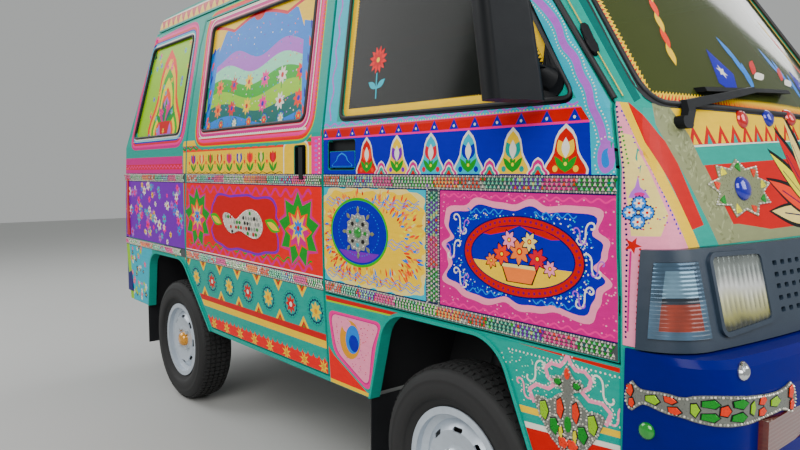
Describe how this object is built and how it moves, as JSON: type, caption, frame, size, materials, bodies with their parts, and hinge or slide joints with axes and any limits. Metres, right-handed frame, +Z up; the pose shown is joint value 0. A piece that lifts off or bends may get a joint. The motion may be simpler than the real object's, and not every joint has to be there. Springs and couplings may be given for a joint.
{
  "type": "cab-over microvan",
  "caption": "Cab-over microvan with painted panels, hinged front doors, sliding side doors, lifting tailgate, steered front wheels and rolling wheels.",
  "frame": {"origin": "centre of the bounding box's base, on the ground", "axes": "+Z up, -Y towards the nose, -X towards the vehicle's right side"},
  "size_m": [1.748, 3.2599, 1.8707],
  "materials": {
    "enamel": "hand-painted gloss enamel in many colours",
    "bumper_enamel": "gloss blue enamel",
    "glass": "clear",
    "dark_plastic": "grained moulding",
    "lamp_glass": "ribbed lens",
    "black_steel": "black underbody paint",
    "cast_iron": "as cast",
    "aluminised": "dull",
    "rim_silver": "silver paint",
    "tyre": "worn rubber",
    "rubber": "matte",
    "seat_fabric": "woven"
  },
  "bodies": {
    "body": {"floor_pan": "black_steel", "chassis_frame": "black_steel", "wheel_housings": "black_steel", "side_frame_right": "enamel", "side_frame_left": "enamel", "roof": "enamel", "front_panel": "enamel", "windscreen": "glass", "grille_panel": "dark_plastic", "headlamps": "lamp_glass", "front_indicators": "lamp_glass", "bumper_front": "bumper_enamel", "bumper_rear": "bumper_enamel", "rear_panel": "enamel", "tail_lamps": "lamp_glass", "sliding_door_right": "enamel", "sliding_door_left": "enamel", "side_windows": "enamel", "seat_box": "black_steel", "seats": "seat_fabric", "dashboard": "dark_plastic", "steering_wheel": "dark_plastic", "engine": "cast_iron", "rear_axle": "black_steel", "leaf_springs": "black_steel", "front_suspension": "black_steel", "fuel_tank": "black_steel", "exhaust": "aluminised", "spare_wheel": "tyre", "tow_eyes": "black_steel", "wipers": "dark_plastic", "mudflaps": "rubber"},
    "front_door_right": {"door_front_right": "enamel", "door_glass_right": "glass", "mirror_right": "dark_plastic"},
    "front_door_left": {"door_front_left": "enamel", "door_glass_left": "glass", "mirror_left": "dark_plastic"},
    "rear_door": {"tailgate": "enamel", "tailgate_glass": "glass"},
    "steered_hub_right": {"knuckle_right": "black_steel"},
    "steered_hub_left": {"knuckle_left": "black_steel"},
    "wheel_front_right": {"rim_front_right": "rim_silver", "tyre_front_right": "tyre"},
    "wheel_front_left": {"rim_front_left": "rim_silver", "tyre_front_left": "tyre"},
    "wheel_rear_right": {"rim_rear_right": "rim_silver", "tyre_rear_right": "tyre"},
    "wheel_rear_left": {"rim_rear_left": "rim_silver", "tyre_rear_left": "tyre"}
  },
  "joints": [
    {"name": "door_right_hinge", "type": "hinge", "parent": "body", "child": "front_door_right", "pos_m": [-0.684, -1.332, 1], "axis": [0, 0, 1], "range_deg": [0, 65]},
    {"name": "door_left_hinge", "type": "hinge", "parent": "body", "child": "front_door_left", "pos_m": [0.684, -1.332, 1], "axis": [0, 0, -1], "range_deg": [0, 65]},
    {"name": "tailgate_hinge", "type": "hinge", "parent": "body", "child": "rear_door", "pos_m": [0, 1.264, 1.717], "axis": [1, 0, 0], "range_deg": [0, 80]},
    {"name": "steer_right", "type": "hinge", "parent": "body", "child": "steered_hub_right", "pos_m": [-0.555, -0.875, 0.19], "axis": [0.2047, 0, 0.9788], "range_deg": [-33, 33]},
    {"name": "steer_left", "type": "hinge", "parent": "body", "child": "steered_hub_left", "pos_m": [0.555, -0.875, 0.19], "axis": [-0.2047, 0, 0.9788], "range_deg": [-33, 33]},
    {"name": "wheel_front_right_spin", "type": "hinge", "parent": "steered_hub_right", "child": "wheel_front_right", "pos_m": [-0.6, -0.875, 0.2765], "axis": [1, 0, 0], "continuous": true},
    {"name": "wheel_front_left_spin", "type": "hinge", "parent": "steered_hub_left", "child": "wheel_front_left", "pos_m": [0.6, -0.875, 0.2765], "axis": [1, 0, 0], "continuous": true},
    {"name": "wheel_rear_right_spin", "type": "hinge", "parent": "body", "child": "wheel_rear_right", "pos_m": [-0.595, 0.935, 0.2765], "axis": [1, 0, 0], "continuous": true},
    {"name": "wheel_rear_left_spin", "type": "hinge", "parent": "body", "child": "wheel_rear_left", "pos_m": [0.595, 0.935, 0.2765], "axis": [1, 0, 0], "continuous": true}
  ],
  "couplings": [
    {"joint": "steer_left", "follows": "steer_right", "ratio": 1}
  ]
}
